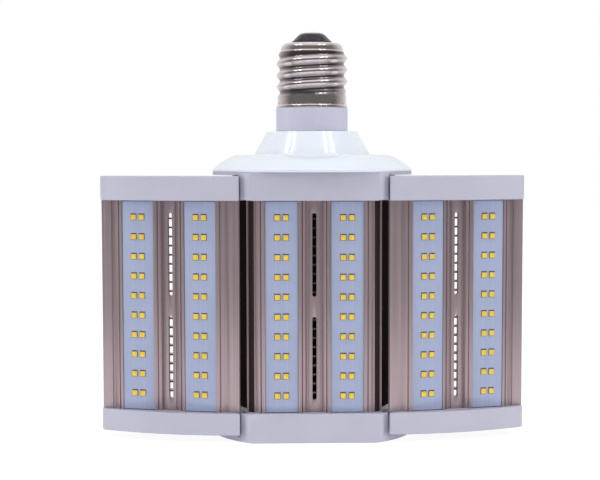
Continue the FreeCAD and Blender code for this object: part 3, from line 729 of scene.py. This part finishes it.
def shellProfile(bottom, top):
    part = shellShape
    skirtEnd, neckStart = shellLevels(bottom, top)
    inside = part["root"] - part["wall"]
    neckInside = part["neck"] - part["wall"]
    beadTop = bottom + part["beadTall"]
    skirtStart = beadTop + part["bead"] - part["skirt"]
    threadStart = skirtEnd + part["skirt"] - part["root"]
    ends = [(inside, bottom), (part["bead"], bottom), (part["bead"], beadTop)]
    wall = upright(part["skirt"], skirtStart, skirtEnd, part["skirtCuts"])
    wall += upright(part["root"], threadStart, neckStart, part["threadCuts"])
    neck = [
        (part["neck"], neckStart + part["wall"] / 2), (part["neck"], top), (part["hole"], top),
        (part["hole"], top - part["wall"]), (neckInside, top - part["wall"]),
        (neckInside, neckStart - part["wall"]), (inside, neckStart - part["wall"]),
    ]
    neckFoot = len(ends) + len(wall)
    beadCorner = (part["beadRound"], part["beadSegments"])
    rounds = {
        1: beadCorner, 2: beadCorner, neckFoot: (part["neckRound"], part["neckSegments"]),
        neckFoot + 1: (part["shoulderRound"], part["shoulderSegments"]),
        neckFoot + 4: (part["shoulderInside"], part["shoulderSegments"]),
    }
    return rounded(ends + wall + neck, rounds)


def rollThread(shape, bottom, skirtEnd, neckStart):
    part = shellShape
    height = part["crest"] - part["root"]
    pitch = part["pitch"]
    for vert in shape.verts:
        radius = math.hypot(vert.co.x, vert.co.y)
        if radius < part["root"] - part["slack"] or not skirtEnd < vert.co.z < neckStart + part["slack"]:
            continue
        turn = math.atan2(vert.co.y, vert.co.x) / (2 * math.pi)
        phase = (vert.co.z - bottom - part["start"]) / pitch - turn
        wave = 0.5 + 0.5 * math.cos(2 * math.pi * phase)
        low = smoothStep((vert.co.z - skirtEnd) / (part["fadeLow"] * pitch))
        high = smoothStep((neckStart - vert.co.z) / (part["fadeHigh"] * pitch))
        wanted = part["root"] + height * wave * high
        blended = radius + (wanted - radius) * low
        vert.co.x *= blended / radius
        vert.co.y *= blended / radius


def stakeSkirt(shape, bottom):
    # small punch marks that hold the shell on the collar
    part = shellShape
    for number in range(part["dimples"]):
        turn = math.radians(part["dimpleTurn"] + number * 360 / part["dimples"])
        spot = Vector((math.cos(turn), math.sin(turn), 0)) * part["skirt"]
        spot.z = bottom + part["dimpleRise"]
        for vert in shape.verts:
            away = (vert.co - spot).length
            if away < part["dimpleRadius"]:
                share = 1 - smoothStep(away / part["dimpleRadius"])
                inward = Vector((-vert.co.x, -vert.co.y, 0)).normalized()
                vert.co += inward * part["dimpleDepth"] * share


def makeShell():
    low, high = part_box("screw_shell")
    shape = turned(shellProfile(low.z, high.z), shellShape["steps"])
    rollThread(shape, low.z, *shellLevels(low.z, high.z))
    stakeSkirt(shape, low.z)
    finishPiece(
        "threaded_shell", shape, [shellNickel], "column", ["screw_shell"],
        shellShape["smooth"],
    )


makeShell()
print("screw shell rolled")


# glass insulator and contact

insulatorShape = {
    "stem": 0.00155, "plug": 0.0107, "plugDeep": 0.0015, "foot": 0.0113, "footTall": 0.0006, "top": 0.00705,
    "footRound": 0.0003, "footSegments": 3, "topRound": 0.0005, "topSegments": 4, "steps": 96, "smooth": 40,
}
contactShape = {
    "stem": 0.00150, "radius": 0.0066, "edge": 0.0005, "crown": 0.55, "crownDrop": 0.0002,
    "edgeRound": 0.0004, "edgeSegments": 4, "crownRound": 0.0018, "crownSegments": 5,
    "steps": 96, "smooth": 50,
}


def makeInsulator():
    low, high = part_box("base_insulator")
    part = insulatorShape
    seat = low.z + part["plugDeep"]
    profile = [
        (part["stem"], low.z), (part["plug"], low.z), (part["plug"], seat), (part["foot"], seat),
        (part["foot"], seat + part["footTall"]), (part["top"], high.z), (part["stem"], high.z),
    ]
    rounds = {4: (part["footRound"], part["footSegments"]), 5: (part["topRound"], part["topSegments"])}
    shape = turned(rounded(profile, rounds), part["steps"])
    finishPiece(
        "glass_insulator", shape, [insulatorGlass], "column", ["base_insulator"],
        part["smooth"],
    )


def makeContact():
    low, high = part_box("base_contact")
    part = contactShape
    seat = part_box("base_insulator")[1].z
    profile = [
        (0, low.z), (part["stem"], low.z), (part["stem"], seat), (part["radius"], seat),
        (part["radius"], seat + part["edge"]), (part["radius"] * part["crown"], high.z - part["crownDrop"]),
        (0, high.z),
    ]
    rounds = {4: (part["edgeRound"], part["edgeSegments"]), 5: (part["crownRound"], part["crownSegments"])}
    shape = turned(rounded(profile, rounds), part["steps"])
    finishPiece(
        "tinned_contact", shape, [contactTin], "column", ["base_contact"], part["smooth"],
    )


makeInsulator()
makeContact()
print("base closed")


# finishes on the CAD nodes that keep their own form

nodeFinishes = {
    "column_fins": finAluminium, "left_wing_fins": finAluminium, "right_wing_fins": finAluminium,
    "column_screws": screwSteel, "left_wing_screws": screwSteel, "right_wing_screws": screwSteel,
    "left_wing_lower_pin": screwSteel, "left_wing_upper_pin": screwSteel,
    "right_wing_lower_pin": screwSteel, "right_wing_upper_pin": screwSteel,
    "driver_board": driverLaminate, "driver_transformer": driverFerrite,
    "driver_capacitors": driverSleeve, "driver_choke": driverFerrite,
}
for nodeName, nodeFinish in nodeFinishes.items():
    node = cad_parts[nodeName]
    node.data.materials.clear()
    node.data.materials.append(nodeFinish)
print("CAD nodes finished")


# studio

studio = {
    "floorSize": 3.0, "floorNear": 0.90, "floorFar": 1.0, "floorFade": (0.22, 0.60), "floorShade": 0.20,
    "floorDiffuse": 0.60, "ambient": 0.44,
    # place, size and power
    "lamps": {
        "leftSoftbox": ((-1.10, -0.40, 0.22), (0.5, 0.9), 5.8),
        "rightSoftbox": ((1.10, -0.40, 0.22), (0.5, 0.9), 5.8),
        "topSoftbox": ((0.0, -0.14, 1.15), (1.2, 0.7), 6.2),
        "tableLight": ((0.0, -0.90, -0.72), (0.40, 0.16), 2.6),
        "frontFill": ((0.0, -1.40, 0.26), (1.2, 0.5), 2.2),
    },
    "aim": (0.0, -0.02, 0.10),
    # size and place
    "strips": {
        "leftStrip": ((0.05, 0.30), (-0.68, -0.10, 1.05)),
        "leftInnerStrip": ((0.05, 0.30), (-0.53, -0.28, 1.05)),
        "rightStrip": ((0.05, 0.30), (0.55, -0.28, 1.05)),
        "rightInnerStrip": ((0.05, 0.30), (0.36, -0.40, 1.05)),
    },
    "stripGlow": 9.0,
}
# a dark room in front of the object, which fades to white at the sides, overhead and on the near floor
screen = {
    "near": 0.28, "far": 1.5, "foot": 0.0005, "eaves": 1.0, "roof": 0.9, "top": 1.9,
    "turn": 178, "steps": 60, "dark": 0.17, "white": 0.85,
    "floorFade": (0.42, 0.28), "topFade": (1.15, 1.85), "sideFade": (0.15, -0.85),
}


def seenDirectly(owner):
    # camera, glossy and transmission rays, in a material or the world
    path = addNode(owner, "ShaderNodeLightPath").outputs
    seen = mathOn(owner, "MAXIMUM", path["Is Camera Ray"], path["Is Glossy Ray"])
    return mathOn(owner, "MAXIMUM", seen, path["Is Transmission Ray"])


def grey(level):
    return (level, level, level, 1)


def makeWorld():
    world = bpy.data.worlds.new("studioWorld")
    bpy.context.scene.world = world
    world.use_nodes = True
    background = world.node_tree.nodes["Background"]
    background.inputs["Color"].default_value = grey(1)
    level = spread(world, seenDirectly(world), studio["ambient"], 1.0, 0.0, 1.0)
    feed(world, level, background.inputs["Strength"])


def makeFloor():
    shape = bmesh.new()
    bmesh.ops.create_grid(shape, x_segments=1, y_segments=1, size=studio["floorSize"])
    mesh = bpy.data.meshes.new("studioFloor")
    shape.to_mesh(mesh)
    shape.free()
    floor = bpy.data.objects.new("studioFloor", mesh)
    bpy.context.scene.collection.objects.link(floor)
    material = bpy.data.materials.new("floorPaper")
    material.use_nodes = True
    material.node_tree.nodes.clear()
    # seen directly, a little less white near the object, so that its shadow shows
    place = addNode(material, "ShaderNodeTexCoord").outputs["Object"]
    away = awayFromAxis(material, place)
    white = spread(material, away, studio["floorNear"], studio["floorFar"], *studio["floorFade"])
    shade = addNode(material, "ShaderNodeBsdfDiffuse", {"Color": grey(studio["floorShade"])})
    glow = addNode(material, "ShaderNodeEmission", {"Strength": white})
    seen = addNode(material, "ShaderNodeAddShader", {0: shade.outputs[0], 1: glow.outputs[0]})
    plain = addNode(material, "ShaderNodeBsdfDiffuse", {"Color": grey(studio["floorDiffuse"])})
    shaders = {0: seenDirectly(material), 1: plain.outputs[0], 2: seen.outputs[0]}
    mix = addNode(material, "ShaderNodeMixShader", shaders)
    addNode(material, "ShaderNodeOutputMaterial", {"Surface": mix.outputs[0]})
    mesh.materials.append(material)
    floor.visible_shadow = False


def onlyMirrored(name, shape, material):
    # a studio piece that shows in reflections and nowhere else
    mesh = bpy.data.meshes.new(name)
    shape.to_mesh(mesh)
    shape.free()
    mesh.materials.append(material)
    piece = bpy.data.objects.new(name, mesh)
    bpy.context.scene.collection.objects.link(piece)
    piece.visible_camera = False
    piece.visible_diffuse = False
    piece.visible_transmission = False
    piece.visible_shadow = False


def glowing(name):
    material = bpy.data.materials.new(name)
    material.use_nodes = True
    material.node_tree.nodes.clear()
    glow = addNode(material, "ShaderNodeEmission")
    addNode(material, "ShaderNodeOutputMaterial", {"Surface": glow.outputs[0]})
    return material, glow


def makeStrip(name, size, place):
    shape = bmesh.new()
    bmesh.ops.create_grid(shape, x_segments=1, y_segments=1, size=0.5)
    bmesh.ops.scale(shape, vec=(*size, 1), verts=shape.verts)
    bmesh.ops.translate(shape, vec=place, verts=shape.verts)
    material, glow = glowing(f"{name}Light")
    glow.inputs["Strength"].default_value = studio["stripGlow"]
    onlyMirrored(name, shape, material)


def makeScreen():
    # a floor strip, a wall behind it and a sloping roof, turned almost round the object
    shape = bmesh.new()
    corners = [
        (screen["near"], screen["foot"]), (screen["far"], screen["foot"]),
        (screen["far"], screen["eaves"]), (screen["roof"], screen["top"]),
    ]
    verts = [shape.verts.new((0, -away, height)) for away, height in corners]
    edges = [shape.edges.new(pair) for pair in zip(verts, verts[1:])]
    half = math.radians(screen["turn"])
    bmesh.ops.rotate(shape, cent=(0, 0, 0), matrix=Matrix.Rotation(-half, 3, "Z"), verts=verts)
    bmesh.ops.spin(
        shape, geom=verts + edges, cent=(0, 0, 0), axis=(0, 0, 1), dvec=(0, 0, 0), angle=2 * half,
        steps=screen["steps"], use_merge=False, use_duplicate=False,
    )
    material, glow = glowing("screenPaint")
    place = addNode(material, "ShaderNodeTexCoord").outputs["Object"]
    parts = addNode(material, "ShaderNodeSeparateXYZ", {"Vector": place}).outputs
    away = awayFromAxis(material, place)
    ahead = mathOn(material, "MULTIPLY", mathOn(material, "DIVIDE", parts["Y"], away), -1.0)
    share = spread(material, away, 0.0, 1.0, *screen["floorFade"])
    for source, fade in ((parts["Z"], "topFade"), (ahead, "sideFade")):
        share = mathOn(material, "MAXIMUM", share, spread(material, source, 0.0, 1.0, *screen[fade]))
    level = spread(material, share, screen["dark"], screen["white"], 0.0, 1.0)
    feed(material, level, glow.inputs["Strength"])
    onlyMirrored("roomScreen", shape, material)


def makeLamp(name, place, size, power):
    light = bpy.data.lights.new(name, "AREA")
    light.shape = "RECTANGLE"
    light.size, light.size_y = size
    light.energy = power
    lamp = bpy.data.objects.new(name, light)
    lamp.location = place
    lamp.rotation_euler = (Vector(studio["aim"]) - Vector(place)).to_track_quat("-Z", "Y").to_euler()
    lamp.visible_camera = False
    lamp.visible_glossy = False
    bpy.context.scene.collection.objects.link(lamp)


makeWorld()
makeFloor()
makeScreen()
for stripName, stripValues in studio["strips"].items():
    makeStrip(stripName, *stripValues)
for lampName, lampValues in studio["lamps"].items():
    makeLamp(lampName, *lampValues)
print("studio lit")


# camera at the photograph's angle

view = {
    "place": (-0.0284, -0.8888, 0.1523), "turn": 1.83, "tilt": 4.47, "roll": 0.08,
    "lens": 95.25, "sensor": 36.0, "shiftX": -0.0200, "shiftY": 0.0728,
}
cameraData = bpy.data.cameras.new("camera")
cameraData.lens = view["lens"]
cameraData.sensor_width = view["sensor"]
cameraData.shift_x = view["shiftX"]
cameraData.shift_y = view["shiftY"]
camera = bpy.data.objects.new("camera", cameraData)
camera.location = view["place"]
camera.rotation_euler = (
    math.radians(90 - view["tilt"]), math.radians(view["roll"]), math.radians(-view["turn"]),
)
bpy.context.scene.collection.objects.link(camera)
bpy.context.scene.camera = camera
bpy.context.scene.view_settings.view_transform = "Standard"
print("camera set")
